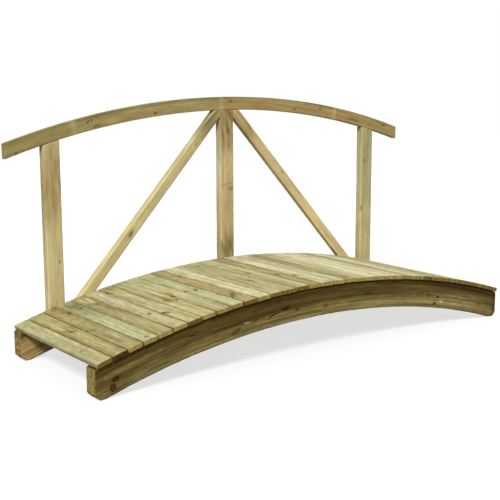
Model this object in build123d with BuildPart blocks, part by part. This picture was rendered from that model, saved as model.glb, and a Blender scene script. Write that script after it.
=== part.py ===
"""Arched garden footbridge of treated pine with one handrail.

Two glued arch beams (stringers) stand on flat feet. Deck boards lie across them, each one square to
the arch. On the far side three posts, two braces and an arched handrail form a flat frame, fixed to
the outer face of the far stringer.

Millimetres, +Z up. X runs along the walkway, Y across it with the handrail on the +Y side.
The origin is on the ground, in the middle of the footprint.
"""

import math
import os

from build123d import *

# Walkway
length = 2400.0  # from end to end of a stringer
deck_width = 800.0  # length of a deck board
deck_rise = 187.0  # crown of the deck above the deck's ends

# Deck boards
board_width = 70.0
board_thickness = 20.0
board_edge_radius = 2.5
least_board_gap = 3.0  # the boards are spread evenly, at least this far apart

# Stringers
stringer_depth = 140.0
stringer_thickness = 75.0
stringer_edge_radius = 8.0
near_overhang = 15.0  # boards reach this far past the near stringer
foot_length = 50.0  # from a stringer's end to where its underside lifts off the ground
foot_chamfer = 20.0  # cut at the lower corner of a stringer's end

# Posts
post_width = 85.0
post_depth = 45.0
post_inset = 220.0  # centre of an outer post from the end of the stringers
post_edge_radius = 8.0
post_toe_gap = 5.0  # lower end of a post above the underside of the stringer

# Handrail
rail_height = 830.0  # top of the handrail above the top of the deck
rail_overhang = 5.0  # rail past each end of the stringers
rail_depth = 66.0
rail_thickness = 38.0
rail_arris = 4.0  # chamfer on the long edges
finger_length = 22.0  # length of the fingers that lock two rail segments together
finger_count = 6
rail_joint_shares = (-0.715, -0.025, 0.605)  # joints, as shares of half the rail's length

# Braces
brace_width = 52.0
brace_thickness = 38.0
brace_edge_radius = 6.0
brace_toe_height = 58.0  # centre line of a brace at its lower end, above the stringer's underside

# The deck's top, the stringers and the rail are arcs about centres on the Z axis
half_length = length / 2
deck_radius = (half_length**2 + deck_rise**2) / (2 * deck_rise)
stringer_top_radius = deck_radius - board_thickness
stringer_under_radius = stringer_top_radius - stringer_depth
foot_inner_x = half_length - foot_length
arch_centre_z = -math.sqrt(stringer_under_radius**2 - foot_inner_x**2)
rail_centre_z = arch_centre_z + rail_height
rail_under_radius = deck_radius - rail_depth
deck_half_angle = math.asin(half_length / deck_radius)
board_run = 2 * deck_half_angle * stringer_top_radius
board_count = math.floor((board_run + least_board_gap) / (board_width + least_board_gap))
half_rail = half_length + rail_overhang
post_spacing = half_length - post_inset

# Across the bridge: the footprint runs from the boards' near ends to the backs of the posts
near_edge_y = -(deck_width + post_depth) / 2
rail_plane_y = near_edge_y + deck_width


def arc_height(radius, centre_z, x):
    """Height at x of an arc about a centre on the Z axis."""
    return centre_z + math.sqrt(radius**2 - x**2)


def arc_points(radius, centre_z, x):
    """Ends and crown of an arc that reaches from -x to x."""
    end_z = arc_height(radius, centre_z, x)
    crown_z = arc_height(radius, centre_z, 0)
    return (-x, end_z), (0, crown_z), (x, end_z)


def side_view(back_y):
    """Plane seen from the near side, x along the bridge and y up. Extruding from it goes towards -Y."""
    return Plane.XZ.offset(-back_y)


def finish(builder, label):
    """Names a finished piece and writes its file."""
    builder.part.label = label
    export_step(builder.part, os.path.join("parts", f"{label}.step"))


def make_stringer(label, front_y):
    """Glued arch beam: two arcs, plumb ends, a chamfered lower corner and a flat foot at each end."""
    with BuildPart() as stringer:
        with BuildSketch(side_view(front_y + stringer_thickness)):
            with BuildLine():
                top = ThreePointArc(*arc_points(stringer_top_radius, arch_centre_z, half_length))
                ThreePointArc(*arc_points(stringer_under_radius, arch_centre_z, foot_inner_x))
                for corner in (top @ 0, top @ 1):
                    inward = -math.copysign(1, corner.X)
                    Polyline(
                        corner,
                        (corner.X, foot_chamfer),
                        (corner.X + inward * foot_chamfer, 0),
                        (corner.X + inward * foot_length, 0),
                    )
            make_face()
        extrude(amount=stringer_thickness)
        fillet(stringer.edges().filter_by(GeomType.CIRCLE), radius=stringer_edge_radius)
    finish(stringer, label)


def make_deck_board(number):
    """Flat board square to the arch, with its two upper long edges rounded."""
    angle = deck_half_angle * ((2 * number - 1) / board_count - 1)
    seat_x = stringer_top_radius * math.sin(angle)
    seat_z = arc_height(stringer_top_radius, arch_centre_z, seat_x)
    across = Plane(
        origin=(seat_x, rail_plane_y, seat_z),
        x_dir=(math.cos(angle), 0, -math.sin(angle)),
        z_dir=(0, -1, 0),
    )
    with BuildPart() as board:
        with BuildSketch(across) as profile:
            Rectangle(board_width, board_thickness, align=(Align.CENTER, Align.MIN))
            fillet(profile.vertices().group_by(Axis.Y)[-1], radius=board_edge_radius)
        extrude(amount=deck_width)
    finish(board, f"deck_board_{number:02d}")


def stringer_underside(x):
    """Height of the stringers' underside at x."""
    return arc_height(stringer_under_radius, arch_centre_z, x)


def rail_bed(from_x, to_x):
    """Three points of the rail's underside, from one x to another."""
    stations = (from_x, (from_x + to_x) / 2, to_x)
    return [(x, arc_height(rail_under_radius, rail_centre_z, x)) for x in stations]


def make_post(label, centre_x):
    """Upright on the stringer's outer face, cut along an arc at the top so that the rail beds on it."""
    left_x = centre_x - post_width / 2
    right_x = centre_x + post_width / 2
    toe_z = stringer_underside(min(abs(left_x), abs(right_x))) + post_toe_gap
    with BuildPart() as post:
        with BuildSketch(side_view(rail_plane_y + post_depth)):
            with BuildLine():
                head = ThreePointArc(*rail_bed(left_x, right_x))
                Polyline(head @ 0, (left_x, toe_z), (right_x, toe_z), head @ 1)
            make_face()
        extrude(amount=post_depth)
        fillet(post.edges().filter_by(Axis.Z), radius=post_edge_radius)
    finish(post, label)


def make_brace(label, side):
    """Diagonal from an outer post's foot to the centre post's head, cut to both posts and the rail."""
    head = Vector(side * post_width / 2, arc_height(rail_under_radius, rail_centre_z, post_width / 2))
    toe_x = side * (post_spacing - post_width / 2)
    toe = Vector(toe_x, stringer_underside(toe_x) + brace_toe_height)
    middle = (head + toe) / 2
    grain = toe - head
    with BuildPart() as brace:
        with BuildSketch(side_view(rail_plane_y + brace_thickness)):
            with Locations(middle):
                Rectangle(2 * grain.length, brace_width, rotation=math.degrees(math.atan2(grain.Y, grain.X)))
            with BuildLine():
                under_rail = ThreePointArc(*rail_bed(head.X, toe.X))
                Polyline(under_rail @ 0, (head.X, 0), (toe.X, 0), under_rail @ 1)
            make_face(mode=Mode.INTERSECT)
        extrude(amount=brace_thickness)
        long_edges = brace.edges().filter_by(Axis((0, 0, 0), (grain.X, 0, grain.Y)))
        fillet(long_edges, radius=brace_edge_radius)
    finish(brace, label)


def finger_edge(joint_x):
    """Zigzag across the rail, from its front to its back, that two neighbouring segments share."""
    tooth = rail_thickness / (2 * finger_count)
    return [
        (joint_x + finger_length / 2 * (-1) ** step, rail_plane_y + tooth * step)
        for step in range(2 * finger_count + 1)
    ]


def make_rail_segment(number):
    """Length of the arched handrail, with fingers at each end that meets another segment."""
    back_y = rail_plane_y + rail_thickness
    rail_end = [(half_rail, rail_plane_y), (half_rail, back_y)]
    rail_start = [(-half_rail, rail_plane_y), (-half_rail, back_y)]
    edges = [rail_start, *(finger_edge(share * half_rail) for share in rail_joint_shares), rail_end]
    with BuildPart() as segment:
        with BuildSketch(side_view(back_y)):
            with BuildLine():
                top = ThreePointArc(*arc_points(deck_radius, rail_centre_z, half_rail))
                under = ThreePointArc(*arc_points(rail_under_radius, rail_centre_z, half_rail))
                Line(top @ 0, under @ 0)
                Line(top @ 1, under @ 1)
            make_face()
        extrude(amount=rail_thickness)
        chamfer(segment.edges().filter_by(GeomType.CIRCLE), length=rail_arris)
        with BuildSketch(Plane.XY):
            with BuildLine():
                Polyline(*edges[number - 1], *reversed(edges[number]), close=True)
            make_face()
        extrude(amount=rail_centre_z + deck_radius, mode=Mode.INTERSECT)
    finish(segment, f"handrail_segment_{number}")


os.makedirs("parts", exist_ok=True)

make_stringer("stringer_near", near_edge_y + near_overhang)
make_stringer("stringer_far", rail_plane_y - stringer_thickness)

for number in range(1, board_count + 1):
    make_deck_board(number)

make_post("post_left", -post_spacing)
make_post("post_centre", 0)
make_post("post_right", post_spacing)

make_brace("brace_left", -1)
make_brace("brace_right", 1)

for number in range(1, len(rail_joint_shares) + 2):
    make_rail_segment(number)
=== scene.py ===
"""Arched garden footbridge of treated pine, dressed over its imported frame.

Every timber is built again with rounded, slightly worn edges, and carries its own grain, tone, knots and
splits. Screws and coach screws hold it together. Metres, in the axes of the frame: X along the walkway,
Y across it with the handrail on the +Y side, Z up from the ground.
"""

import math
from collections.abc import Callable
from dataclasses import dataclass

import bpy
import numpy as np
from mathutils import Matrix, Vector


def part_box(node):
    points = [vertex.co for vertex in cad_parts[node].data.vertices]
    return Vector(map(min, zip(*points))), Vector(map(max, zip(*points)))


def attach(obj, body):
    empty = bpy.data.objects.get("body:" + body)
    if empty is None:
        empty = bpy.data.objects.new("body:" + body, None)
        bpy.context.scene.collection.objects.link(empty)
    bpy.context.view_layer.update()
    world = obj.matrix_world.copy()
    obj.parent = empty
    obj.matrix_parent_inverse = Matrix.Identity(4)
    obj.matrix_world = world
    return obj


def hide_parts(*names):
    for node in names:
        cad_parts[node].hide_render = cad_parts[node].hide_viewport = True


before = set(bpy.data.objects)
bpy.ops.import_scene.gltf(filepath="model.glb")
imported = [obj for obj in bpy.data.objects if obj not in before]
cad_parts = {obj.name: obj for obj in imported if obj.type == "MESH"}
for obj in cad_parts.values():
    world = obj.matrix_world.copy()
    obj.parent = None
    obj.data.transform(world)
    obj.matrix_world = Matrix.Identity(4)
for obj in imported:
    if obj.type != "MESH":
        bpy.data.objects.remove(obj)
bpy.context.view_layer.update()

MM = 0.001
TOUCH = 0.01 * MM  # two places closer than this are the same


# Sizes read from the frame


def node_points(node):
    """Vertices of a CAD node."""
    return np.array([vertex.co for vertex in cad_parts[node].data.vertices])


def arc_radius(half_chord, rise):
    """Radius of an arc from half its chord and its rise."""
    return (half_chord**2 + rise**2) / (2 * rise)


def from_axis(points, centre_z):
    """Distance of points from the centre line of an arch."""
    return np.hypot(points[:, 0], points[:, 2] - centre_z)


def edge_width(out, across):
    """How much narrower a face is on one side than its piece, from places out of it and across it."""
    on_face = out > out.max() - TOUCH
    return round(float(across.max() - across[on_face].max()), 6)


board_nodes = sorted(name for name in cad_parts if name.startswith("deck_board_"))
rail_nodes = sorted(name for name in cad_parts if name.startswith("handrail_segment_"))
board_count = len(board_nodes)
level_node = board_nodes[board_count // 2]
level_points = node_points(level_node)
level_low, level_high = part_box(level_node)
board_width = level_high.x - level_low.x
board_thickness = level_high.z - level_low.z
board_length = level_high.y - level_low.y
board_edge = edge_width(level_points[:, 2], level_points[:, 0])
near_edge_y = level_low.y
rail_plane_y = level_high.y

near_points = node_points("stringer_near")
half_length = near_points[:, 0].max()
at_end = near_points[:, 0] > half_length - TOUCH
foot_chamfer = near_points[at_end, 2].min()
on_ground = near_points[:, 2] < TOUCH
foot_inner_x = np.abs(near_points[on_ground, 0]).min()
stringer_radius = arc_radius(half_length, level_low.z - near_points[at_end, 2].max())
arch_centre_z = level_low.z - stringer_radius
stringer_under_radius = math.hypot(foot_inner_x, arch_centre_z)
stringer_depth = stringer_radius - stringer_under_radius
stringer_edge = edge_width(-near_points[:, 1], from_axis(near_points, arch_centre_z))
deck_radius = stringer_radius + board_thickness
deck_half_angle = math.asin(half_length / deck_radius)

rail_low, rail_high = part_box(rail_nodes[len(rail_nodes) // 2])
first_rail = node_points(rail_nodes[0])
half_rail = -first_rail[:, 0].min()
rail_end_top = first_rail[first_rail[:, 0] < TOUCH - half_rail, 2].max()
rail_radius = arc_radius(half_rail, rail_high.z - rail_end_top)
rail_centre_z = rail_high.z - rail_radius
rail_depth = rail_high.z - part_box("post_centre")[1].z
rail_under_radius = rail_radius - rail_depth
rail_thickness = rail_high.y - rail_low.y
rail_edge = edge_width(-first_rail[:, 1], from_axis(first_rail, rail_centre_z))


def front_ends(points):
    """Least and greatest x of a rail segment on its front face."""
    front = points[points[:, 1] < rail_low.y + TOUCH, 0]
    return front.min(), front.max()


second_rail = node_points(rail_nodes[1])
finger_length = front_ends(second_rail)[0] - second_rail[:, 0].min()


# Tones of the wood


def tone(red, green, blue):
    """Linear colour from one written in screen values up to 255."""
    screen = np.array([red, green, blue]) / 255
    return np.where(screen < 0.04045, screen / 12.92, ((screen + 0.055) / 1.055) ** 2.4)


PALE_GREEN = tone(181, 180, 134)
STRAW = tone(175, 168, 121)
HONEY = tone(164, 154, 106)
BUFF = tone(181, 174, 128)
CREAM = tone(204, 199, 158)
PALE_CREAM = tone(212, 207, 168)
LIGHT_BUFF = tone(192, 186, 141)
KHAKI = tone(167, 151, 97)
TAN = tone(171, 147, 95)
PALE_KHAKI = tone(204, 189, 138)
PALE_TAN = tone(217, 193, 141)
DUSTY_TAN = tone(197, 175, 127)
DULL_KHAKI = tone(157, 142, 89)
ROSE_TAN = tone(214, 187, 136)
OLIVE_GREY = tone(178, 167, 119)
OLIVE = tone(130, 119, 69)
DARK_OLIVE = tone(116, 105, 60)
SHADED_GREY = tone(118, 111, 74)
ORANGE_BROWN = tone(160, 135, 84)
BROWN = tone(138, 114, 64)
RED_BROWN = tone(128, 92, 54)
# Dark brown for stains on the near stringer and for the painted shade along its top and at its right end;
# BEAM_SHADE is a darker painted shade
BEAM_STAIN_AND_SHADE = tone(78, 60, 17)
BEAM_SHADE = tone(58, 40, 8)
BEAM_MIDDLE = tone(91, 78, 36)
BEAM_FOOT = tone(126, 115, 69)
BEAM_LIGHT = tone(145, 128, 86)
BEAM_END = tone(139, 122, 70)
CHIP_CREAM = tone(214, 198, 150)
END_GRAIN = tone(160, 142, 77)
END_TAN = tone(124, 105, 48)
END_BROWN = tone(108, 86, 32)
END_DARK = tone(72, 56, 14)
# Painted shade in the gaps between boards, at their near ends
GAP_SHADE_TONE = tone(74, 60, 22)
CHIP_PALE = tone(212, 198, 160)
RAIL_TOP = tone(122, 116, 80)

# The stains below take more green and blue than red from the wood, so it starts with more of them
BARE_WOOD = np.array([1.0, 1.035, 1.1])

# What is left of a colour where it is darker towards the long edges and under painted shade on the walls
# between boards, in darker grain and in the marks of the wood
EDGE_DARKENING_AND_SHADE = np.array([0.5, 0.42, 0.3])
LATE_GRAIN = (0.74, 0.68, 0.56, 1.0)
DARK_GRAIN = (0.6, 0.54, 0.43, 1.0)
WARM_GRAIN = (0.93, 0.86, 0.72, 1.0)
KNOT_HALO = (0.85, 0.77, 0.61, 1.0)
KNOT_HEART = (0.52, 0.44, 0.3, 1.0)
KNOT_BARK = (0.35, 0.29, 0.18, 1.0)
SPLIT_SHADE = (0.12, 0.09, 0.06, 1.0)

# One tone for each deck board, from the left end of the walkway
DECK_TONES = (
    STRAW, HONEY, HONEY, PALE_GREEN, HONEY, BUFF, STRAW, STRAW, BUFF, PALE_GREEN, HONEY,
    CREAM, BUFF, STRAW, BUFF, HONEY, CREAM, LIGHT_BUFF, HONEY, LIGHT_BUFF, PALE_CREAM, PALE_CREAM, CREAM,
    BUFF, CREAM, LIGHT_BUFF, HONEY, BUFF, LIGHT_BUFF, HONEY, STRAW, STRAW, HONEY,
)

# Near ends of the boards that are darker than the rest, by number
DARK_ENDS = {1: END_BROWN, 2: END_DARK, 7: END_BROWN, 11: END_BROWN, 13: END_TAN, 14: END_TAN, 15: END_TAN}
DARK_ENDS.update({number: END_TAN for number in range(26, board_count + 1)})

LAST_SHADED_GAP = 14  # as far as this board, painted shade fills the gaps at the boards' near ends

KNOT, CHIP, SPLIT = np.eye(3)


def by_node(table):
    """Table by node, from one that has the deck boards by number."""
    return {board_nodes[key - 1] if isinstance(key, int) else key: rows for key, rows in table.items()}


# Marks on the face of each piece that shows most: share of the way along it, share of the half width
# across it, half length and half width in millimetres, strength, any turn from the grain in degrees, and
# the kind if it is no knot. Boards run from the far end, arched pieces from the left, others from the top.
MARKS = by_node({
    1: [(0.767, -0.07, 8, 5, 0.5), (0.764, 0.66, 8, 5, 0.4), (0.17, 0, 24, 5, 0.3)],
    2: [(0.47, 0, 14, 8, 0.5, 20), (0.426, -0.55, 10, 6, 0.3)],
    3: [(0.193, 0.85, 15, 8, 1, 10), (0.568, -0.6, 22, 5, 0.6, 40)],
    4: [(0.197, 0.47, 10, 6, 0.95), (0.952, -0.05, 9, 6, 0.7)],
    5: [
        (0.1, -0.35, 60, 5, 0.7, 4, CHIP), (0.14, 0.35, 62, 7, 0.8, -4, CHIP),
        (0.6, -0.5, 28, 4, 0.9, -5, CHIP), (0.225, 0.15, 16, 8, 0.4),
    ],
    6: [(0.684, 0.05, 13, 7, 0.85, -15), (0.06, -0.3, 40, 5, 0.4, 0, CHIP)],
    7: [(0.13, -0.8, 24, 6, 0.7, 15), (0.757, -0.7, 18, 8, 1, 28), (0.75, 0.12, 6, 5, 0.5)],
    8: [(0.585, -0.4, 9, 6, 0.8, 20), (0.63, 0.75, 14, 5, 0.7, -30), (0.45, 0.55, 50, 3, 0.5, 0, CHIP)],
    9: [(0.555, -0.85, 18, 6, 0.9), (0.49, -0.5, 24, 8, 0.4)],
    10: [(0.548, -0.8, 11, 6, 0.85, 15), (0.574, 0.31, 13, 7, 1, -20)],
    11: [(0.845, -0.3, 34, 9, 0.65, -35), (0.233, 0.65, 12, 8, 0.6)],
    12: [(0.55, -0.8, 14, 6, 0.5, 15), (0.9, 0.1, 30, 18, 0.35, 0, CHIP)],
    14: [(0.108, -0.7, 12, 8, 0.7), (0.665, -0.75, 16, 7, 0.65, 10)],
    15: [(0.506, -0.5, 18, 12, 0.45)],
    16: [(0.648, -0.1, 17, 11, 0.8), (0.08, 0.85, 24, 6, 0.6, 35)],
    17: [(0.739, -0.75, 17, 8, 1, 35)],
    18: [(0.4, 0.4, 10, 6, 0.5)],
    20: [(0.06, -0.4, 20, 8, 0.6, 30)],
    "stringer_near": [
        (0.029, -0.54, 14, 15, 1), (0.039, -0.13, 15, 9, 1, 5), (0.023, 0.23, 7, 9, 0.12, 0, CHIP),
        (0.196, 0.26, 20, 4, 0.6, -10, SPLIT), (0.224, 0.36, 30, 4, 0.06, 0, CHIP),
        (0.288, -0.5, 24, 8, 0.6, 20), (0.313, -0.19, 17, 5, 0.4, -8, CHIP),
        (0.334, -0.22, 16, 3, 0.7, 15, SPLIT), (0.374, -0.22, 40, 3.5, 1, 11, SPLIT),
        (0.403, 0, 24, 6, 1, 6, SPLIT), (0.431, -0.26, 12, 4, 0.7, 0, SPLIT), (0.5, -0.4, 14, 8, 0.5),
        (0.61, 0.1, 18, 7, 0.6, 10), (0.784, -0.1, 14, 7, 0.6), (0.812, -0.2, 12, 5, 0.9, -20, SPLIT),
        (0.823, -0.51, 11, 6, 1, 0, CHIP), (0.804, -0.67, 10, 6, 1), (0.943, -0.26, 15, 8, 0.4),
    ],
    "post_left": [(0.86, 0.25, 8, 5, 0.3, 30), (0.61, 0.5, 9, 5, 0.4, 20)],
    "post_centre": [(0.415, -0.2, 4, 26, 0.25, 12), (0.44, 0.5, 9, 14, 0.35), (0.11, 0.2, 14, 6, 0.3)],
    "post_right": [(0.2, -0.45, 9, 6, 0.5), (0.5, -0.85, 14, 6, 0.5)],
    "brace_left": [(0.17, 0.2, 12, 4, 0.4, 15), (0.595, 0, 16, 6, 0.55, 12)],
    "brace_right": [(0.35, 0.2, 8, 4, 0.35), (0.72, -0.4, 8, 4, 0.3)],
    "handrail_segment_1": [(0.13, -0.85, 8, 6, 0.6)],
    "handrail_segment_2": [
        (0.076, 0.28, 9, 3, 1, 60, SPLIT), (0.098, 0.35, 9, 2.5, 0.9, 60, SPLIT),
        (0.118, -0.6, 14, 5, 0.3, 10), (0.513, -0.45, 9, 5, 0.75),
    ],
    "handrail_segment_3": [(0.055, 0.3, 11, 7, 0.45), (0.61, -0.45, 8, 5, 0.5), (0.845, 0.3, 9, 10, 0.4)],
    "handrail_segment_4": [(0.77, 0.4, 18, 6, 0.45), (0.3, -0.25, 30, 4, 0.4)],
})

# Patches of another tone: tone, strength, share along, share across, length and width in millimetres
PATCHES = by_node({
    1: [(PALE_GREEN, 0.6, 0.4, 0, 260, 40)],
    2: [(RED_BROWN, 0.35, 0.44, 0.2, 60, 26), (BROWN, 0.35, 0.8, 0, 160, 60)],
    3: [(BROWN, 0.75, 0.06, 0, 120, 60), (OLIVE, 0.3, 0.6, 0, 200, 40)],
    4: [(SHADED_GREY, 0.9, 0.12, 0, 72, 34), (SHADED_GREY, 0.45, 0.27, 0, 90, 36)],
    5: [(BROWN, 0.4, 0.34, 0.1, 140, 50), (STRAW, 0.4, 0.8, 0, 160, 50)],
    6: [(CREAM, 0.5, 0.3, -0.2, 160, 30)],
    7: [(BROWN, 0.6, 0.05, 0.2, 70, 40), (BUFF, 0.5, 0.5, 0.2, 200, 30)],
    8: [
        (BROWN, 0.6, 0.4, 0, 40, 6), (BROWN, 0.7, 0.48, 0, 45, 10), (BROWN, 0.8, 0.56, 0, 42, 17),
        (BROWN, 0.7, 0.61, 0, 26, 26), (STRAW, 0.5, 0.82, -0.2, 160, 26),
        (PALE_GREEN, 0.5, 0.18, 0, 120, 40),
    ],
    9: [(BROWN, 0.4, 0.5, -0.7, 60, 16), (STRAW, 0.6, 0.75, 0, 180, 40)],
    11: [
        (ORANGE_BROWN, 0.8, 0.3, 0.65, 130, 20), (ORANGE_BROWN, 0.75, 0.62, 0.5, 170, 26),
        (DARK_OLIVE, 0.45, 0.85, -0.3, 60, 26),
    ],
    12: [(CREAM, 0.6, 0.65, 0, 220, 40)],
    13: [(HONEY, 0.6, 0.4, 0.5, 300, 20)],
    14: [(HONEY, 0.6, 0.6, -0.5, 300, 20), (TAN, 0.3, 0.2, 0, 100, 40)],
    15: [(CREAM, 0.6, 0.3, 0.7, 260, 14)],
    16: [(BROWN, 0.35, 0.4, 0.4, 300, 24), (BROWN, 0.4, 0.8, 0.6, 160, 20)],
    19: [(BROWN, 0.5, 0.3, 0.3, 260, 20)],
    24: [(BROWN, 0.4, 0.5, 0.2, 300, 20)],
    28: [(BROWN, 0.4, 0.6, 0.3, 260, 22)],
    31: [(BROWN, 0.4, 0.5, -0.2, 300, 25)],
    # Near stringer: the darkest patches along the top and the patch at its right end are painted shade,
    # under the deck's overhang and on the end
    "stringer_near": [
        (RED_BROWN, 0.7, 0.01, -0.5, 50, 26), (BEAM_STAIN_AND_SHADE, 0.6, 0.045, -0.75, 60, 16),
        (BEAM_FOOT, 0.5, 0.09, 0.25, 220, 16), (BEAM_STAIN_AND_SHADE, 0.6, 0.36, 0.1, 340, 26),
        (BEAM_STAIN_AND_SHADE, 0.5, 0.765, 0.1, 120, 26), (BEAM_LIGHT, 0.65, 0.83, -0.7, 330, 40),
        (BEAM_SHADE, 0.55, 0.9, 0.8, 260, 24), (BEAM_LIGHT, 0.45, 0.9, -0.05, 200, 24),
        (RED_BROWN, 0.4, 0.955, -0.7, 70, 24), (BEAM_STAIN_AND_SHADE, 0.85, 1, 0, 22, 200),
    ],
    "post_left": [
        (BROWN, 0.6, 0.26, -0.4, 90, 30), (TAN, 0.95, 0.21, 0.1, 160, 50),
        (ROSE_TAN, 0.4, 0.7, 0.55, 220, 16), (OLIVE, 0.3, 0.4, -1, 250, 9),
    ],
    "post_centre": [
        (BROWN, 0.85, 0.06, 0, 110, 60), (BROWN, 0.7, 0.19, -0.2, 40, 40),
        (ROSE_TAN, 0.95, 0.31, 0.2, 70, 50), (OLIVE, 0.95, 0.78, 0.1, 70, 60),
        (PALE_CREAM, 0.85, 0.28, -1, 130, 9),
    ],
    "post_right": [
        (PALE_KHAKI, 0.95, 0.53, 0, 50, 60), (PALE_KHAKI, 0.5, 0.72, 0, 130, 60),
        (CREAM, 0.5, 0.33, -1, 160, 9),
    ],
    "brace_left": [
        (TAN, 0.5, 0.6, 0, 26, 20), (OLIVE, 0.85, 0.04, 0, 120, 60),
        (DULL_KHAKI, 0.4, 0.24, 0, 80, 40),
    ],
    "brace_right": [(TAN, 0.95, 0.08, 0, 130, 60), (TAN, 0.15, 0.25, 0.3, 100, 16)],
    "handrail_segment_1": [(OLIVE, 0.3, 0.3, 1, 500, 13), (PALE_KHAKI, 0.35, 0.955, 0, 16, 200)],
    "handrail_segment_2": [
        (OLIVE, 0.5, 0.2, 1, 460, 12), (OLIVE, 0.7, 0.13, -0.65, 40, 12), (TAN, 0.5, 0.4, 0.1, 160, 30),
        (OLIVE, 0.4, 0.75, 1, 200, 12), (DUSTY_TAN, 0.5, 0.985, 0, 14, 200),
    ],
    "handrail_segment_3": [(BROWN, 0.3, 0.25, -0.3, 160, 14), (PALE_KHAKI, 0.75, 0.985, 0, 12, 200)],
    "handrail_segment_4": [(BROWN, 0.3, 0.3, -0.3, 80, 12), (KHAKI, 0.6, 0.85, 0, 100, 40)],
})


# Node trees


class Graph:
    """Node tree of a new material or world, with short calls for the nodes that are used."""

    def __init__(self, owner):
        self.owner = owner
        owner.use_nodes = True
        self.tree = owner.node_tree
        self.tree.nodes.clear()

    def add(self, kind, inputs=(), **settings):
        """New node with its settings made and its inputs filled or linked."""
        node = self.tree.nodes.new(kind)
        for key, value in settings.items():
            setattr(node, key, value)
        for key, value in dict(inputs).items():
            if isinstance(value, bpy.types.NodeSocket):
                self.tree.links.new(value, node.inputs[key])
            else:
                node.inputs[key].default_value = value
        return node

    def attribute(self, name, output):
        return self.add("ShaderNodeAttribute", attribute_name=name).outputs[output]

    def math(self, operation, *values):
        return self.add("ShaderNodeMath", enumerate(values), operation=operation).outputs[0]

    def plus(self, *values):
        return self.math("ADD", *values)

    def times(self, *values):
        return self.math("MULTIPLY", *values)

    def parts(self, vector):
        return self.add("ShaderNodeSeparateXYZ", {0: vector}).outputs

    def vector(self, x, y, z):
        return self.add("ShaderNodeCombineXYZ", {0: x, 1: y, 2: z}).outputs[0]

    def stretch(self, vector, scale):
        return self.add("ShaderNodeVectorMath", {0: vector, 1: scale}, operation="MULTIPLY").outputs[0]

    def noise(self, vector, along, across, detail=3.0):
        """Noise from 0 to 1, with its own scale along the grain."""
        stretched = self.stretch(vector, (along, across, across))
        inputs = {"Vector": stretched, "Scale": 1.0, "Detail": detail}
        return self.add("ShaderNodeTexNoise", inputs).outputs["Fac"]

    def white(self, vector):
        return self.add("ShaderNodeTexWhiteNoise", {"Vector": vector}).outputs

    def remap(self, value, start, end, low=0.0, high=1.0):
        """Smooth step from one value to another."""
        inputs = {0: value, 1: start, 2: end, 3: low, 4: high}
        return self.add("ShaderNodeMapRange", inputs, interpolation_type="SMOOTHSTEP").outputs[0]

    def mix(self, share, first, second):
        """Colour between two others."""
        return self.add("ShaderNodeMix", {0: share, 6: first, 7: second}, data_type="RGBA").outputs[2]

    def stain(self, share, colour, left):
        """Colour of which a share is multiplied by what a stain leaves."""
        inputs = {0: share, 6: colour, 7: left}
        return self.add("ShaderNodeMix", inputs, data_type="RGBA", blend_type="MULTIPLY").outputs[2]

    def shade(self, colour, factor):
        return self.add("ShaderNodeVectorMath", {0: colour, 3: factor}, operation="SCALE").outputs[0]

    def ramp(self, value, stops):
        """Grey ramp through pairs of place and level."""
        node = self.add("ShaderNodeValToRGB", {0: value})
        elements = node.color_ramp.elements
        while len(elements) < len(stops):
            elements.new(0.5)
        for element, (place, level) in zip(elements, stops):
            element.position = place
            element.color = (level, level, level, 1.0)
        return node.outputs[0]

    def seen(self):
        """1 for rays that show the background, by themselves, in metal or through glass."""
        path = self.add("ShaderNodeLightPath").outputs
        straight = self.math("MAXIMUM", path["Is Camera Ray"], path["Is Transmission Ray"])
        return self.math("MAXIMUM", straight, path["Is Glossy Ray"])

    def surface(self, kind, inputs, output="ShaderNodeOutputMaterial"):
        """Shader of a kind with these inputs, taken to the output. Gives back the material or world."""
        self.add(output, {"Surface": self.add(kind, inputs).outputs[0]})
        return self.owner


def opaque(colour):
    """Colour with full alpha, as the sockets take it."""
    return (*colour, 1.0)


# Wood


CHANNELS = ("mark_a", "mark_b", "mark_c")


def mark_fields(g, channel, wobble):
    """Square of the distance from a mark, the distance itself, the mark's size and its kinds."""
    along, across, size = g.parts(g.attribute(channel, "Vector"))
    kinds = g.parts(g.attribute(f"{channel}_kind", "Vector"))
    square = g.plus(g.times(along, along), g.times(across, across))
    reach = g.plus(g.math("SQRT", square), wobble)
    return square, reach, size, kinds


def bent_by(g, depth, square, size, kinds):
    """Depth in the rings, pushed aside round a knot."""
    lobe = g.math("EXPONENT", g.times(square, -0.18))
    push = g.times(g.times(lobe, size), kinds[0])
    return g.plus(depth, push)


def marked(g, colour, relief, reach, kinds, chip_tone):
    """Colour and relief with a knot, a pale chip or a split laid over them."""
    knot, chip, split = kinds

    def within(distance, none, full, kind):
        return g.times(g.remap(distance, none, full), kind)

    halo = within(reach, 2.5, 0.8, knot)
    heart = within(reach, 1.1, 0.7, knot)
    bark = within(g.math("ABSOLUTE", g.math("SUBTRACT", reach, 0.85)), 0.36, 0.1, knot)
    flake = within(reach, 1.15, 0.75, chip)
    crack = within(reach, 1.25, 0.7, split)
    colour = g.stain(halo, colour, KNOT_HALO)
    colour = g.stain(heart, colour, KNOT_HEART)
    colour = g.stain(bark, colour, KNOT_BARK)
    colour = g.mix(flake, colour, opaque(chip_tone))
    colour = g.stain(crack, colour, SPLIT_SHADE)
    hollow = g.math("MULTIPLY_ADD", heart, 0.5, g.plus(flake, g.times(crack, 2.0)))
    return colour, g.math("SUBTRACT", relief, hollow)


LAMELLA = 0.95  # length of a piece in a glued layer
PITH_SPREAD = 90 * MM  # how far apart the piths of such pieces lie
GRAIN_SHIFT = 3.0  # how far apart along the grain their patterns lie
GRAIN_RELIEF = 0.6 * MM
SPANGLE_RELIEF = 0.2 * MM


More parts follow.
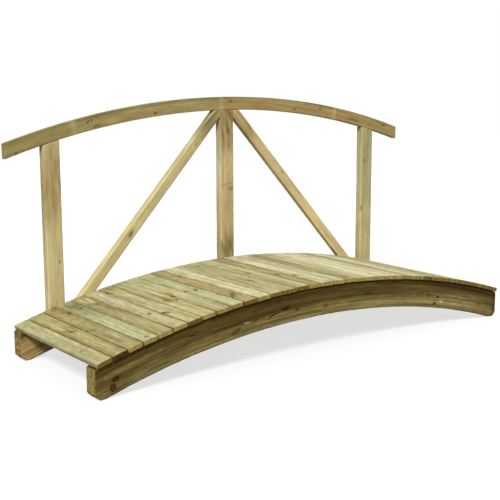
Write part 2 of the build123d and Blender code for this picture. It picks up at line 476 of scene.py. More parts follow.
def laminate(g, grain, thickness):
    """Grain shifted at random in each piece of a glued layer, their tones and the glue lines' shade."""
    along, up, across = g.parts(grain)
    height = g.math("DIVIDE", up, thickness)
    layer = g.math("FLOOR", height)
    seam = g.remap(g.math("PINGPONG", height, 0.5), 0.06, 0.02)
    shine = g.remap(g.noise(grain, 1.5, 20), 0.42, 0.6, 0.45, 1.7)
    seam = g.math("MULTIPLY_ADD", seam, g.math("SUBTRACT", shine, 1.0), 1.0)
    shift = g.white(g.vector(layer, 7.0, 3.0))["Value"]
    run = g.math("FLOOR", g.plus(g.math("DIVIDE", along, LAMELLA), g.times(shift, 5.0)))
    first, second, third = g.parts(g.white(g.vector(layer, run, 1.0))["Color"])
    up = g.math("SUBTRACT", up, g.times(g.plus(layer, first), thickness))
    across = g.plus(across, g.math("MULTIPLY_ADD", second, PITH_SPREAD, -PITH_SPREAD / 2))
    along = g.plus(along, g.times(third, GRAIN_SHIFT))
    return g.vector(along, up, across), third, seam


def wood(name, ring, late_share, streak_share, warmth, mottling, run=1.0, chip_tone=CHIP_CREAM, layer=0.0):
    """Treated pine: growth rings about the pith, dark and warm streaks, fibres, specks, knots and splits."""
    g = Graph(bpy.data.materials.new(name))
    grain = g.attribute("grain", "Vector")
    colour = g.attribute("tint", "Color")
    if layer:
        grain, layer_tone, seam = laminate(g, grain, layer)
        colour = g.shade(colour, g.math("MULTIPLY_ADD", layer_tone, 0.44, 0.78))
        colour = g.shade(colour, seam)
    wobble = g.math("SUBTRACT", g.noise(grain, 70, 160, 2), 0.5)
    fields = [mark_fields(g, channel, wobble) for channel in CHANNELS]

    along, across, through = g.parts(grain)
    sway = g.math("MULTIPLY_ADD", g.noise(grain, 1.3, 11), 0.02, -0.01)
    depth = g.math("SQRT", g.plus(g.math("POWER", across, 2.0), g.math("POWER", through, 2.0)))
    depth = g.plus(depth, sway)
    for square, reach, size, kinds in fields:
        depth = bent_by(g, depth, square, size, kinds)
    late = g.ramp(g.math("FRACT", g.math("DIVIDE", depth, ring)), ((0, 0), (0.5, 0.15), (0.85, 1), (1, 0)))
    fibre = g.noise(grain, 14, 500, 2)
    thread = g.noise(grain, 1.6 * run, 230, 2)
    narrow = g.noise(grain, 2.2 * run, 130)
    wide = g.noise(grain, 1.8 * run, 38, 2)
    patch = g.noise(grain, 2.4, 16, 2)
    cloud = g.noise(grain, 5, 24, 2)
    mottle = g.noise(grain, 22, 70)
    speck = g.noise(grain, 22, 260, 1)

    colour = g.stretch(colour, BARE_WOOD * (1.0 + 0.23 * streak_share + 0.1 * late_share))
    colour = g.stain(g.remap(patch, 0.42, 0.7, 0.0, warmth), colour, WARM_GRAIN)
    streaks = (wide, 0.38, 0.72, 1.0), (narrow, 0.48, 0.68, 0.7), (thread, 0.54, 0.66, 0.5)
    for field, none, full, share in streaks:
        colour = g.stain(g.remap(field, none, full, 0.0, share * streak_share), colour, DARK_GRAIN)
    shades = (
        (narrow, 0.47, 0.33, 1.0, 1.0 + 0.2 * streak_share),
        (thread, 0.46, 0.34, 1.0, 1.0 + 0.15 * streak_share),
        (cloud, 0.35, 0.65, 0.92, 1.08),
        (mottle, 0.3, 0.7, 1.0 - mottling, 1.0 + mottling),
    )
    for shade in shades:
        colour = g.shade(colour, g.remap(*shade))
    colour = g.stain(g.times(late, late_share), colour, LATE_GRAIN)
    colour = g.stain(g.remap(speck, 0.66, 0.74, 0.0, 0.6), colour, DARK_GRAIN)
    colour = g.shade(colour, g.math("MULTIPLY_ADD", fibre, -0.24, 1.12))

    relief = g.plus(g.times(late, 0.5), g.times(fibre, 0.5))
    for square, reach, size, kinds in fields:
        colour, relief = marked(g, colour, relief, reach, kinds, chip_tone)
    bump = g.add("ShaderNodeBump", {"Strength": 0.4, "Distance": GRAIN_RELIEF, "Height": relief})
    roughness = g.math("MULTIPLY_ADD", fibre, 0.2, 0.62)
    inputs = {"Base Color": colour, "Roughness": roughness, "Normal": bump.outputs[0]}
    return g.surface("ShaderNodeBsdfPrincipled", inputs | {"Specular IOR Level": 0.12})


def galvanised():
    """Dull yellow zinc of the screws, with faint spangle."""
    g = Graph(bpy.data.materials.new("zinc"))
    spangle = g.noise(g.add("ShaderNodeTexCoord").outputs["Object"], 700.0, 700.0, 2.0)
    colour = g.mix(spangle, opaque(tone(150, 138, 104)), opaque(tone(186, 174, 134)))
    roughness = g.math("MULTIPLY_ADD", spangle, 0.25, 0.38)
    bump = g.add("ShaderNodeBump", {"Strength": 0.15, "Distance": SPANGLE_RELIEF, "Height": spangle})
    inputs = {"Base Color": colour, "Metallic": 0.9, "Roughness": roughness, "Normal": bump.outputs[0]}
    return g.surface("ShaderNodeBsdfPrincipled", inputs)


# Timbers as meshes

WEAR = 0.3 * MM  # typical depth of the dents along an edge
END_ARRIS = 1.2 * MM
KNOT_SPACING = 700 * MM
SHARP_ANGLE = math.radians(50)


class Straight:
    """Axes of a straight timber: u along the grain, v across its width and w out of its face."""

    def __init__(self, origin, along, out):
        along = Vector(along).normalized()
        out = Vector(out).normalized()
        self.origin = np.array(origin)
        self.axes = np.array([along, out.cross(along), out])

    def place(self, local):
        return self.origin + local @ self.axes

    def local(self, points):
        return (points - self.origin) @ self.axes.T


@dataclass
class Arched:
    """Axes of an arched timber: u along its arc, v outwards from the arc and w towards the near side."""

    radius: float
    centre_z: float
    middle_y: float

    def place(self, local):
        angle = local[:, 0] / self.radius
        reach = self.radius + local[:, 1]
        x = reach * np.sin(angle)
        return np.stack([x, self.middle_y - local[:, 2], self.centre_z + reach * np.cos(angle)], 1)

    def end_at(self, x, reach):
        """Place along the arc at which a line at that distance from the centre gets to x."""
        return self.radius * np.arcsin(x / reach)


def ripple(rng, points, along, across, terms=12):
    """Smooth random field, mostly within -1 to 1. Its typical wavelengths are in millimetres."""
    waves = rng.normal(size=(terms, 3)) * 2 * math.pi / (np.array([along, across, across]) * MM)
    phases = rng.uniform(0, 2 * math.pi, terms)
    return np.cos(points @ waves.T + phases).sum(1) / math.sqrt(terms)


def rounded_steps(half, radius, step, extra=()):
    """Places from -half to half, about a step apart, and closer where an edge is rounded."""
    corner_angles = np.linspace(0, math.pi / 4, 4)
    corner = half - radius + radius * np.tan(corner_angles)
    count = max(2, math.ceil(2 * (half - radius) / step))
    middle = np.linspace(radius - half, half - radius, count + 1)[1:-1]
    places = np.concatenate([-corner, middle, corner, np.array(extra)])
    return np.unique(places.round(7))


def box_skin(counts):
    """Lattice places and outward quads of the skin of a box with that many places along u, v and w."""
    lattice = np.indices(counts).reshape(3, -1).T
    last = np.array(counts) - 1
    skin = lattice[((lattice == 0) | (lattice == last)).any(1)]
    number = np.full(counts, -1)
    number[tuple(skin.T)] = np.arange(len(skin))
    quads = []
    for axis in range(3):
        for side in (0, last[axis]):
            sheet = np.take(number, side, axis)
            faces = [sheet[:-1, :-1], sheet[1:, :-1], sheet[1:, 1:], sheet[:-1, 1:]]
            faces = np.stack(faces, -1).reshape(-1, 4)
            inward = (side == 0) != (axis == 1)
            quads.append(faces[:, ::-1] if inward else faces)
    return skin, np.concatenate(quads)


def round_section(v, w, half_v, half_w, radius):
    """Moves the places of a rectangle's lattice so that its corners are round."""
    inner_v = np.clip(v, radius - half_v, half_v - radius)
    inner_w = np.clip(w, radius - half_w, half_w - radius)
    out_v = v - inner_v
    out_w = w - inner_w
    length = np.hypot(out_v, out_w)
    pull = np.maximum(np.abs(out_v), np.abs(out_w)) / np.maximum(length, 1e-9)
    corner = pull < 1
    return np.where(corner, inner_v + out_v * pull, v), np.where(corner, inner_w + out_w * pull, w), corner


def soft_step(value, start, end):
    """Smooth rise from 0 at start to 1 at end."""
    share = np.clip((value - start) / (end - start), 0, 1)
    return share * share * (3 - 2 * share)


def toned(tint, other, share):
    """Tints moved towards another tone by a share of their own."""
    return tint + (other - tint) * share[:, None]


def write_attribute(mesh, name, values):
    """Stores vectors or colours on a mesh's vertices, under a name that its material reads."""
    kind, field = ("FLOAT_VECTOR", "vector") if values.shape[1] == 3 else ("FLOAT_COLOR", "color")
    mesh.attributes.new(name, kind, "POINT").data.foreach_set(field, np.ravel(values).astype(np.float32))


def new_object(name, data):
    """Object of that data, put into the scene."""
    added = bpy.data.objects.new(name, data)
    bpy.context.scene.collection.objects.link(added)
    return added


def new_piece(name, points, faces):
    """Smooth object of a mesh."""
    mesh = bpy.data.meshes.new(name)
    mesh.from_pydata(points.tolist(), [], faces)
    mesh.polygons.foreach_set("use_smooth", np.ones(len(mesh.polygons), bool))
    mesh.set_sharp_from_angle(angle=SHARP_ANGLE)
    return new_object(name, mesh)


@dataclass
class Mark:
    """A knot, chip or split on the face of a timber, in the timber's own axes."""

    kind: np.ndarray
    u: float
    v: float
    half_u: float
    half_v: float
    turn: float

    FADE = 3.0  # a mark's effect ends at this many times its size

    def own(self, local):
        """Places along and across the mark, in its own half sizes."""
        du = local[:, 0] - self.u
        dv = local[:, 1] - self.v
        along = (du * math.cos(self.turn) + dv * math.sin(self.turn)) / self.half_u
        across = (dv * math.cos(self.turn) - du * math.sin(self.turn)) / self.half_v
        return along, across

    def clear_of(self, other):
        """Whether the effects of two marks can't meet."""
        room = max(self.half_u, self.half_v) + max(other.half_u, other.half_v)
        return math.hypot(self.u - other.u, self.v - other.v) > self.FADE * room


def shared_out(marks):
    """Marks in one group for each channel, so that those in a group lie well apart."""
    groups = [[] for _ in CHANNELS]
    for mark in marks:
        free = [group for group in groups if all(mark.clear_of(other) for other in group)]
        (free or groups)[0].append(mark)
    return groups


@dataclass
class Timber:
    """A length of wood in place of a node, between two end surfaces that ends(v, w) gives as values of u."""

    node: str
    rng: np.random.Generator
    axes: Straight | Arched
    half_v: float
    half_w: float
    ends: Callable

    STEP = 10 * MM  # between places along the grain
    SECTION_STEP = 6 * MM
    SPLIT_STEPS = 3 * MM, 1.5 * MM  # along and across a split that is cut into the surface
    SPLIT_DEPTH = 5 * MM

    def __post_init__(self):
        self.start, self.stop = (limit[0] for limit in self.ends(np.zeros(1), np.zeros(1)))
        self.length = self.stop - self.start
        self.marks = [self.set_mark(*entry) for entry in MARKS.get(self.node, ())] or self.stray_marks()
        self.back_marks = self.stray_marks()

    def set_mark(self, along, across, half_length, half_width, strength, turn=0, kind=KNOT):
        """Mark from an entry of the table."""
        u = self.start + self.length * along
        v = self.half_v * across
        return Mark(kind * strength, u, v, half_length * MM, half_width * MM, math.radians(turn))

    def stray_marks(self):
        """Knots in places of their own, on a face that the table leaves out."""
        marks = []
        for _ in range(self.rng.poisson(self.length / KNOT_SPACING)):
            size = self.rng.uniform(5, 10)
            across = self.rng.uniform(-0.8, 0.8)
            turn = self.rng.normal(0, 12)
            strength = self.rng.uniform(0.4, 0.9)
            along = self.rng.uniform(0.05, 0.95)
            marks.append(self.set_mark(along, across, 1.5 * size, size, strength, turn))
        return marks

    def splits(self):
        """Marks that are cut into the surface."""
        return [mark for mark in self.marks if mark.kind @ SPLIT > 0]

    def finer_places(self):
        """Places along and across the grain for the splits to be cut at."""
        u_step, v_step = self.SPLIT_STEPS
        u_places, v_places = [[]], [[]]
        for mark in self.splits():
            lean = abs(math.sin(mark.turn)) * mark.half_u + mark.half_v
            u_places.append(np.arange(-1.2, 1.2, u_step / mark.half_u) * mark.half_u + mark.u)
            v_places.append(np.arange(-1.2, 1.2, v_step / lean) * lean + mark.v)
        return np.concatenate(u_places), np.concatenate(v_places)

    def shape(self, name, radius, wear=WEAR, arrises=(END_ARRIS, END_ARRIS), seams=()):
        """Makes the mesh: rounded and worn long edges, ends eased by the arrises, and open splits."""
        finer_u, finer_v = self.finer_places()
        v_steps = rounded_steps(self.half_v, radius, self.SECTION_STEP, finer_v)
        w_steps = rounded_steps(self.half_w, radius, self.SECTION_STEP, seams)
        inner = np.linspace(0, 1, math.ceil(self.length / self.STEP) + 1)[1:-1]
        inner = np.union1d(inner, (finer_u - self.start) / self.length)
        turn = np.linspace(0, math.pi / 2, 3)
        end_rows = 1 - np.cos(turn)
        end_insets = 1 - np.sin(turn)
        level = np.zeros(len(inner))
        first, last = arrises
        offsets = np.concatenate([first * end_rows, level, -last * end_rows[::-1]])
        insets = np.concatenate([first * end_insets, level, last * end_insets[::-1]])
        shares = np.concatenate([np.zeros(len(turn)), inner, np.ones(len(turn))])

        skin, quads = box_skin((len(shares), len(v_steps), len(w_steps)))
        row, v, w = skin[:, 0], v_steps[skin[:, 1]], w_steps[skin[:, 2]]
        on_face = w > self.half_w - TOUCH
        self.end_faces = row == 0, row == row.max()
        self.end_edges = row == 1, row == row.max() - 1
        v, w, corner = round_section(v, w, self.half_v, self.half_w, radius)
        v = v * (1 - insets[row] / self.half_v)
        w = w * (1 - insets[row] / self.half_w)
        low, high = self.ends(v, w)
        local = np.stack([low + (high - low) * shares[row] + offsets[row], v, w], 1)
        self.wear_down(local, corner, wear)
        self.cut_splits(local, on_face)
        self.local = local
        self.piece = new_piece(name, self.axes.place(local), quads.tolist())

    def wear_down(self, local, corner, wear):
        """Dents along the rounded edges and a slight swell all over."""
        dents = np.maximum(ripple(self.rng, local, along=60, across=40), 0) * corner
        swell = ripple(self.rng, local, along=220, across=60)
        inward = wear * (1.2 * dents + 0.35 * swell)
        local[:, 1] *= 1 - inward / self.half_v
        local[:, 2] *= 1 - inward / self.half_w

    def cut_splits(self, local, on_face):
        """Opens each split as a groove that runs out at both ends."""
        for mark in self.splits():
            along, across = mark.own(local)
            open_width = np.sqrt(np.clip(1 - along**2, 0, 1))
            depth = np.clip(open_width - np.abs(across), 0, 1) * self.SPLIT_DEPTH
            local[:, 2] -= depth * on_face

    def dress(self, material, tint_at, pith, end_tones=()):
        """Writes grain, tone, patches and marks on the vertices, and puts the piece on the frame."""
        mesh = self.piece.data
        local = self.local
        tint = self.patched(local, tint_at(local))
        for end_face, end_edge, end_tone in zip(self.end_faces, self.end_edges, end_tones):
            tint[end_face] = end_tone
            tint[end_edge] = (tint[end_edge] + end_tone) / 2
        grain = local - np.array([-self.rng.uniform(0, 20), *pith])
        write_attribute(mesh, "grain", grain)
        write_attribute(mesh, "tint", np.column_stack([tint, np.ones(len(tint))]))
        self.write_marks(mesh, local)
        mesh.materials.append(material)
        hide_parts(self.node)
        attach(self.piece, "root")

    def patched(self, local, tint):
        """Tint with the node's patches laid over it."""
        share = (local[:, 0] - self.start) / self.length
        for other, force, along, across, length, width in PATCHES.get(self.node, ()):
            off_u = (share - along) * self.length / (length * MM)
            off_v = (local[:, 1] - across * self.half_v) / (width * MM)
            ragged = 1 + 0.5 * ripple(self.rng, local, along=150, across=25)
            tint = toned(tint, other, np.clip(force * ragged * np.exp(-(off_u**2) - off_v**2), 0, 1))
        return tint

    def write_marks(self, mesh, local):
        """Stores each point's nearest mark in every channel, front and back apart."""
        depth = local[:, 2] / self.half_w
        sides = ((depth > 0, self.marks), (depth <= 0, self.back_marks))
        groups = [(side, shared_out(marks)) for side, marks in sides]
        for number, channel in enumerate(CHANNELS):
            spot = np.zeros((len(local), 3))
            kinds = np.zeros((len(local), 3))
            nearest = np.full(len(local), np.inf)
            for side, channels in groups:
                for mark in channels[number]:
                    along, across = mark.own(local)
                    reach = np.hypot(along, across)
                    closer = side & (reach < nearest)
                    nearest[closer] = reach[closer]
                    fade = soft_step(reach, Mark.FADE, 0.75 * Mark.FADE) * soft_step(np.abs(depth), 0, 0.5)
                    spot[closer] = np.stack([along, across, np.full(len(local), mark.half_v)], 1)[closer]
                    kinds[closer] = (fade[:, None] * mark.kind)[closer]
            write_attribute(mesh, channel, spot)
            write_attribute(mesh, f"{channel}_kind", kinds)


GAP_SHADE_REACH = 120 * MM, 30 * MM  # from a board's near end: where the painted shade in the gaps starts and where it is full


def plain_tint(base, timber, radius, edge_darkening=0.0, wall_shade=0.0, pale_wear_and_highlight=0.0, end_gap_shade=0.0):
    """One tone, darker towards the long edges, painted shade on the walls and in the gaps at the end, and
    pale corners: wear and painted highlight.
    """

    def tint_at(local):
        tint = np.tile(base, (len(local), 1))
        ragged = 1 + ripple(timber.rng, local, along=120, across=50)
        from_side = timber.half_v - np.abs(local[:, 1])
        from_face = timber.half_w - np.abs(local[:, 2])
        # Darker towards the long edges of the face
        edge = soft_step(from_side, 0.25 * timber.half_v, 0)
        # Painted shade on the side walls, where the boards meet
        wall = soft_step(from_side, 0.5 * radius, 0)
        tint = toned(tint, base * EDGE_DARKENING_AND_SHADE, np.clip(edge_darkening * edge * ragged + wall_shade * wall, 0, 1))
        # Deeper painted shade in the gaps towards the near end
        from_end = timber.stop - local[:, 0]
        tint = toned(tint, GAP_SHADE_TONE, end_gap_shade * wall * soft_step(from_end, *GAP_SHADE_REACH))
        # Paler at the rounded corners: worn wood and painted highlight
        corner = soft_step(np.maximum(from_side, from_face), 0.8 * radius, 0.3 * radius)
        return tint * (1 + pale_wear_and_highlight * corner * np.clip(ragged, 0.7, 1.2))[:, None]

    return tint_at


def seeded(*words):
    """Random draws of a piece's own, the same in every run."""
    return np.random.default_rng([sum(map(ord, str(word))) for word in words])


# The bridge's timbers

WIDE_RINGS = 4.5 * MM
CLOSE_RINGS = 4.0 * MM
LAYER_COUNT = 4  # glued layers of a stringer

# Widths of the rings, shares of late wood, dark streaks and warm patches, and mottling
deck_wood = wood("deck_pine", WIDE_RINGS, 0.4, 0.62, 0.4, 0.15)
railing_wood = wood("railing_pine", WIDE_RINGS, 0.3, 0.22, 0.35, 0.04)
handrail_wood = wood("handrail_pine", CLOSE_RINGS, 0.35, 0.4, 0.4, 0.06)
beam_wood = wood(
    "beam_pine", CLOSE_RINGS, 0.5, 1.1, 0.5, 0.13, 0.5, CHIP_PALE, layer=stringer_depth / LAYER_COUNT
)

# Pith of a sawn timber: its typical distance from the middle, and how far it lies behind the middle
PITH_ASIDE = 22 * MM
BOARD_PITH = 25 * MM, 80 * MM
POST_PITH = 25 * MM, 60 * MM


def drawn_pith(rng, depths):
    """Place of the pith across a sawn timber."""
    return rng.normal(0, PITH_ASIDE), -rng.uniform(*depths)


# How far boards stray from their places
BOARD_LIFT = 0.5 * MM
BOARD_SKEW = 0.0012
END_SKEW = 0.008
FAR_SLIP = 0, 2 * MM
NEAR_SLIP = -5 * MM, 1.5 * MM
NEAR_ARRIS = 2 * MM


def make_board(number):
    """Deck board, square to the arch, a little skewed and with its ends a little out of line."""
    node = board_nodes[number - 1]
    rng = seeded(node, number)
    angle = deck_half_angle * ((2 * number - 1) / board_count - 1)
    out = Vector((math.sin(angle), 0, math.cos(angle)))
    middle_radius = stringer_radius + board_thickness / 2 + rng.uniform(0, BOARD_LIFT)
    middle_y = (near_edge_y + rail_plane_y) / 2
    centre = Vector((0, middle_y, arch_centre_z)) + out * middle_radius
    skew = rng.normal(0, BOARD_SKEW)
    along = Vector((0, -1, 0)) + skew * Vector((math.cos(angle), 0, -math.sin(angle)))
    axes = Straight(centre, along, out)
    far_slip = rng.uniform(*FAR_SLIP)
    near_slip = rng.uniform(*NEAR_SLIP)
    far_cut, near_cut = rng.normal(0, END_SKEW, 2)

    def ends(v, w):
        return far_cut * v + far_slip - board_length / 2, near_cut * v + near_slip + board_length / 2

    board = Timber(node, rng, axes, board_width / 2, board_thickness / 2, ends)
    board.shape(f"board_{number:02d}", board_edge, arrises=(END_ARRIS, NEAR_ARRIS))
    pith = drawn_pith(rng, BOARD_PITH)
    base = DECK_TONES[number - 1] * rng.uniform(0.95, 1.05)
    near_tone = DARK_ENDS.get(number, END_GRAIN) * rng.uniform(0.85, 1.1)
    # Painted shade on the side walls between boards and in the gaps at their near ends, stronger on the
    # first boards; none on the outer walls of the first and last board
    wall_shade = rng.uniform(0.1, 0.6)
    end_gap_shade = 0.95 if number < LAST_SHADED_GAP else 0.3
    if number in (1, board_count):
        wall_shade = end_gap_shade = 0.0
    tint_at = plain_tint(base, board, board_edge, 0.2, wall_shade, pale_wear_and_highlight=0.05, end_gap_shade=end_gap_shade)
    board.dress(deck_wood, tint_at, pith, (base * 0.7, near_tone))
    return axes


BEAM_WEAR = 0.5 * MM
BAND_STRAY = 7 * MM  # how far the bands of tone wander up and down
MIDDLE_BAND = 10 * MM, 50 * MM  # below the top: where a band's tone starts and where it is full
LOWER_BAND = 60 * MM, 115 * MM


def make_stringer(node, shaded_top, middle, lower):
    """Glued arch beam on flat feet, with its tones from the top down: painted shade under the deck at the
    top, lighter towards the foot.
    """
    low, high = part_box(node)
    rng = seeded(node)
    middle_radius = (stringer_radius + stringer_under_radius) / 2
    axes = Arched(middle_radius, arch_centre_z, (low.y + high.y) / 2)
    chamfer_line = half_length - foot_chamfer + arch_centre_z

    def ends(v, w):
        reach = middle_radius + v
        plumb = np.arcsin(half_length / reach)
        foot = np.arccos(np.clip(-arch_centre_z / reach, -1, 1))
        corner = math.pi / 4 + np.arcsin(chamfer_line / (math.sqrt(2) * reach))
        limit = middle_radius * np.minimum(np.minimum(plumb, foot), corner)
        return -limit, limit

    # Painted shade: darkest at the top under the deck's overhang, lighter towards the foot
    def tint_at(local):
        stray = BAND_STRAY * ripple(rng, local, along=300, across=60)
        below_top = stringer_depth / 2 - local[:, 1] + stray
        tint = np.tile(shaded_top, (len(local), 1))
        tint = toned(tint, middle, soft_step(below_top, *MIDDLE_BAND))
        return toned(tint, lower, soft_step(below_top, *LOWER_BAND))

    beam = Timber(node, rng, axes, stringer_depth / 2, (high.y - low.y) / 2, ends)
    beam.shape(node.replace("stringer", "beam"), stringer_edge, wear=BEAM_WEAR)
    beam.dress(beam_wood, tint_at, (-beam.half_v, 0.0), (BEAM_END, BEAM_END))


def rail_under(x):
    """Height of the handrail's underside at x."""
    return rail_centre_z + np.sqrt(rail_under_radius**2 - x**2)


HEAD_ARRIS = 3 * MM
EDGE_WEAR_AND_HIGHLIGHT = 0.22  # how much paler the rounded edges of posts and braces are, as worn wood and painted highlight


def make_post(node, base):
    """Upright with its head cut to the rail's arc."""
    points = node_points(node)
    rng = seeded(node)
    low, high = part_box(node)
    centre = (low + high) / 2
    axes = Straight(centre, (0, 0, -1), (0, -1, 0))
    edge = edge_width(-points[:, 1], points[:, 0])

    def ends(v, w):
        return centre.z - rail_under(centre.x + v), np.full_like(v, centre.z - low.z)

    post = Timber(node, rng, axes, (high.x - low.x) / 2, (high.y - low.y) / 2, ends)
    post.shape(node.replace("post", "upright"), edge, arrises=(HEAD_ARRIS, END_ARRIS))
    tint_at = plain_tint(base, post, edge, pale_wear_and_highlight=EDGE_WEAR_AND_HIGHLIGHT)
    post.dress(railing_wood, tint_at, drawn_pith(rng, POST_PITH))


def make_brace(node, base):
    """Diagonal, cut plumb to both posts and along the rail's arc."""
    points = node_points(node)
    rng = seeded(node)
    low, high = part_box(node)
    side = math.copysign(1, low.x)
    head_x, toe_x = (low.x, high.x) if side > 0 else (high.x, low.x)
    heights = points[np.abs(points[:, 0] - toe_x) < TOUCH, 2]
    head = Vector((head_x, 0, rail_under(head_x)))
    toe = Vector((toe_x, 0, (heights.max() + heights.min()) / 2))
    along = (toe - head).normalized()
    width = (heights.max() - heights.min()) * abs(along.x)
    middle = (head + toe) / 2
    middle.y = (low.y + high.y) / 2
    axes = Straight(middle, along, (0, -1, 0))
    edge = edge_width(-points[:, 1], axes.local(points)[:, 1])
    u_axis, v_axis = axes.axes[:2]

    def ends(v, w):
        x = middle.x + v * v_axis[0]
        z = middle.z - rail_centre_z + v * v_axis[2]
        slope = x * u_axis[0] + z * u_axis[2]
        at_rail = -slope - np.sqrt(slope**2 - x**2 - z**2 + rail_under_radius**2)
        return np.maximum((head_x - x) / u_axis[0], at_rail), (toe_x - x) / u_axis[0]

    brace = Timber(node, rng, axes, width / 2, (high.y - low.y) / 2, ends)
    brace.shape(node.replace("brace", "diagonal"), edge)
    tint_at = plain_tint(base, brace, edge, pale_wear_and_highlight=EDGE_WEAR_AND_HIGHLIGHT)
    brace.dress(railing_wood, tint_at, drawn_pith(rng, POST_PITH))


FINGER_FLANKS = 12  # slopes of the fingers across the rail
FLUSH_ARRIS = 0.05 * MM
TOP_GREY = 9 * MM, 3 * MM  # from the top: where the grey starts and where it is full
EDGE_GREY = 9 * MM, 4 * MM  # the same from the front and from the back


def make_rail_segment(number, base, top_share):
    """Length of the arched handrail with fingers where it meets the next one, grey along its top."""
    node = rail_nodes[number - 1]
    rng = seeded(node)
    middle_radius = (rail_radius + rail_under_radius) / 2
    axes = Arched(middle_radius, rail_centre_z, (rail_low.y + rail_high.y) / 2)
    end_xs = front_ends(node_points(node))
    jointed = number > 1, number < len(rail_nodes)
    half_w = rail_thickness / 2

    def ends(v, w):
        step = (half_w - w) / rail_thickness * FINGER_FLANKS
        finger = finger_length * (1 - np.abs(step % 2 - 1))
        return [axes.end_at(x - finger * joint, middle_radius + v) for x, joint in zip(end_xs, jointed)]

    rail = Timber(node, rng, axes, rail_depth / 2, half_w, ends)
    flanks = np.linspace(-half_w, half_w, FINGER_FLANKS + 1)
    arrises = [FLUSH_ARRIS if joint else END_ARRIS for joint in jointed]
    rail.shape(f"rail_{number}", rail_edge, arrises=arrises, seams=flanks)
    even_tint = plain_tint(base, rail, rail_edge, edge_darkening=0.25)

    def tint_at(local):
        near_top = soft_step(rail.half_v - local[:, 1], *TOP_GREY)
        near_edge = soft_step(half_w - np.abs(local[:, 2]), *EDGE_GREY)
        return toned(even_tint(local), RAIL_TOP, top_share * near_top * near_edge)

    rail.dress(handrail_wood, tint_at, drawn_pith(rng, POST_PITH))


board_axes = [make_board(number) for number in range(1, board_count + 1)]
# Both stringers are painted darker at the top, as shade under the deck
make_stringer("stringer_near", BEAM_STAIN_AND_SHADE, BEAM_MIDDLE, BEAM_FOOT)
make_stringer("stringer_far", BEAM_MIDDLE, TAN, TAN)
make_post("post_left", PALE_KHAKI)
make_post("post_centre", DUSTY_TAN)
make_post("post_right", OLIVE_GREY)
make_brace("brace_left", PALE_KHAKI)
make_brace("brace_right", PALE_TAN)
make_rail_segment(1, DULL_KHAKI, 0.65)
make_rail_segment(2, KHAKI, 0.7)
make_rail_segment(3, TAN, 0.8)
make_rail_segment(4, TAN, 0.15)


# Screws

POSTS = ("post_left", "post_centre", "post_right")
TOE_INSET = 45 * MM  # from a brace's toe to its screw
TOE_POINTS = 8  # vertices of a brace that lie farthest out, at its toe
ANGLES = np.linspace(0, 2 * math.pi, 24, endpoint=False)  # round a screw's head

zinc = galvanised()


def circle(radius):
    return np.full(len(ANGLES), radius)


def star(radius):
    """Six round lobes."""
    return radius * (1 + 0.2 * np.cos(6 * ANGLES))


def hexagon(radius):
    """Six flats at that distance."""
    return radius / np.cos(ANGLES % (math.pi / 3) - math.pi / 6)


def turned(rings):
    """Points and faces of a closed shape, from rings of radii and a height in millimetres."""
    points = []
    for reach, height in rings:
        level = np.full(len(ANGLES), height)
        points.append(np.stack([reach * np.cos(ANGLES), reach * np.sin(ANGLES), level], 1))
    grid = np.arange(len(rings) * len(ANGLES)).reshape(len(rings), -1)
    low, high = grid[:-1], grid[1:]
    quads = np.stack([low, np.roll(low, -1, 1), np.roll(high, -1, 1), high], -1).reshape(-1, 4)
    return np.concatenate(points) * MM, [grid[0, ::-1].tolist(), *quads.tolist(), grid[-1].tolist()]


def make_screws(name, outline, places):
    """Screws of one outline, joined, at pairs of a place on the wood and the way out of it."""
    points, faces = turned(outline)
    all_points, all_faces = [], []
    for number, (place, out) in enumerate(places):
        turn = Vector(out).to_track_quat("Z", "Y").to_matrix() @ Matrix.Rotation(2.4 * number, 3, "Z")
        start = number * len(points)
        all_points.append(points @ np.array(turn).T + np.array(place))
        all_faces.extend([[start + corner for corner in face] for face in faces])
    piece = new_piece(name, np.concatenate(all_points), all_faces)
    piece.data.polygons.foreach_set("use_smooth", np.zeros(len(piece.data.polygons), bool))
    piece.data.materials.append(zinc)
    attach(piece, "root")


def middle_of(node):
    low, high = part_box(node)
    return (low + high) / 2


def deck_screw_places():
    """Two on each board over the middle of each stringer."""
    for axes in board_axes:
        for stringer in ("stringer_near", "stringer_far"):
            along = axes.origin[1] - middle_of(stringer).y
            for share in (-0.56, 0.56):
                local = np.array([along, share * board_width / 2, board_thickness / 2])
                yield axes.place(local), axes.axes[2]


def rail_screw_places():
    """Through the rail into each post, and into the braces' heads beside the centre post."""
    middle_y = (rail_low.y + rail_high.y) / 2
    for post in POSTS:
        low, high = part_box(post)
        reach = (high.x - low.x) / 2
        shares = (-1.6, -0.5, 0.5, 1.6) if post == "post_centre" else (-0.5, 0.5)
        for share in shares:
            x = (low.x + high.x) / 2 + share * reach
            height = math.sqrt(rail_radius**2 - x**2)
            yield (x, middle_y, rail_centre_z + height), (x, 0, height)


def coach_screw_places():
    """Two through each post into the far stringer."""
    radius = (stringer_radius + stringer_under_radius) / 2
    for post in POSTS:
        x = middle_of(post).x
        middle_z = arch_centre_z + math.sqrt(radius**2 - x**2)
        for share in (-0.2, 0.24):
            yield (x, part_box(post)[1].y, middle_z + share * stringer_depth), (0, 1, 0)


def toe_screw_places():
    """One through each brace's toe into the far stringer."""
    for brace in ("brace_left", "brace_right"):
        low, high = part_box(brace)
        side = math.copysign(1, low.x)
        points = node_points(brace)
        toe = points[np.abs(points[:, 0]).argsort()[-TOE_POINTS:]].mean(0)
        slope = (high.z - low.z) / (high.x - low.x)
        yield (toe[0] - side * TOE_INSET, high.y, toe[2] + slope * TOE_INSET), (0, 1, 0)


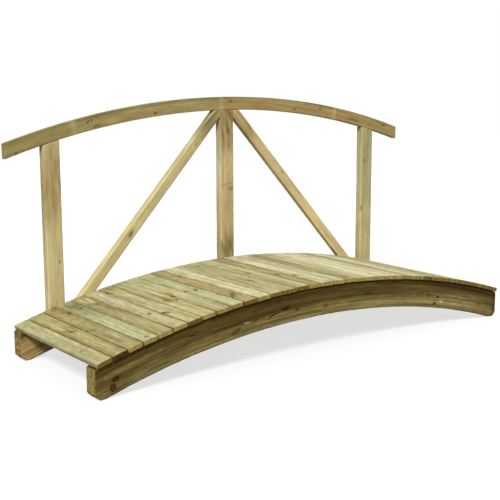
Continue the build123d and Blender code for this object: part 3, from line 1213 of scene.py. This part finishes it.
# Head of a wood screw, just proud of the wood, with a star recess. Washer and head of a coach screw.
countersunk = [(circle(1.8), -2.6), (circle(4.0), -0.3), (circle(4.0), 0.2), (circle(3.6), 0.4)]
recess = [(star(1.9), 0.4), (star(1.7), -1.2)]
washer = [(circle(11.0), -0.5), (circle(11.0), 1.4), (circle(10.5), 1.7)]
coach_head = [(hexagon(6.5), 1.7), (hexagon(6.5), 6.2), (circle(6.2), 6.9), (circle(4.0), 7.0)]

make_screws("deck_screws", countersunk + recess, deck_screw_places())
make_screws("rail_screws", countersunk + recess, rail_screw_places())
make_screws("toe_screws", countersunk + recess, toe_screw_places())
make_screws("coach_screws", washer + coach_head, coach_screw_places())


# Stage, light and camera


WHITE = (1.0, 1.0, 1.0, 1.0)
FLOOR_HALF = 14.0  # half the floor's width


def make_floor():
    """Pale floor that keeps the bridge's shadow. It throws back less light than it shows."""
    corners = np.array([(-1, -1, 0), (1, -1, 0), (1, 1, 0), (-1, 1, 0)])
    floor = new_piece("floor", corners * FLOOR_HALF, [(0, 1, 2, 3)])
    g = Graph(bpy.data.materials.new("floor"))
    ground = g.add("ShaderNodeBsdfDiffuse", {"Color": (0.30, 0.30, 0.27, 1.0)}).outputs[0]
    pale = g.add("ShaderNodeBsdfDiffuse", {"Color": (0.36, 0.36, 0.36, 1.0)}).outputs[0]
    white = g.add("ShaderNodeEmission", {"Color": WHITE, "Strength": 0.7}).outputs[0]
    shown = g.add("ShaderNodeAddShader", {0: pale, 1: white}).outputs[0]
    floor.data.materials.append(g.surface("ShaderNodeMixShader", {0: g.seen(), 1: ground, 2: shown}))


def make_world():
    """White where it is seen, and a soft even light elsewhere."""
    g = Graph(bpy.data.worlds.new("studio"))
    upward = g.parts(g.add("ShaderNodeTexCoord").outputs["Generated"])["Z"]
    sky = g.add("ShaderNodeMapRange", {"Value": upward, "To Min": 0.2, "To Max": 0.44}).outputs[0]
    light = g.add("ShaderNodeBackground", {"Color": (0.94, 0.97, 1.0, 1.0), "Strength": sky}).outputs[0]
    white = g.add("ShaderNodeBackground", {"Color": WHITE}).outputs[0]
    inputs = {0: g.seen(), 1: light, 2: white}
    bpy.context.scene.world = g.surface("ShaderNodeMixShader", inputs, "ShaderNodeOutputWorld")


def make_lamp(name, elevation, azimuth, spread, strength, colour):
    """Soft even lamp far away. Azimuth 0 is the near side and 90 the right end, in degrees."""
    data = bpy.data.lights.new(name, "SUN")
    data.angle = math.radians(spread)
    data.energy = strength
    data.color = colour
    lamp = new_object(name, data)
    lamp.rotation_euler = (math.radians(90 - elevation), 0, math.radians(azimuth))


def make_camera():
    """Camera where the photograph was taken from."""
    heading = math.radians(36.48)
    pitch = math.radians(9.90)
    roll = math.radians(0.17)
    place = (-2.9622, -3.8239, 1.2726)
    focal_pixels = 996.2
    image_width = 500
    data = bpy.data.cameras.new("camera")
    data.sensor_width = 36.0
    data.lens = data.sensor_width * focal_pixels / image_width
    camera = new_object("camera", data)
    turn = Matrix.Rotation(-heading, 4, "Z") @ Matrix.Rotation(math.pi / 2 - pitch, 4, "X")
    camera.matrix_world = Matrix.Translation(place) @ turn @ Matrix.Rotation(-roll, 4, "Z")
    bpy.context.scene.camera = camera


make_floor()
make_world()
make_lamp("front", elevation=40, azimuth=-45, spread=14, strength=2.9, colour=(1.0, 0.98, 0.95))
make_lamp("back", elevation=61, azimuth=114, spread=3, strength=0.5, colour=(1.0, 0.98, 0.94))
make_camera()
bpy.context.scene.view_settings.view_transform = "Standard"
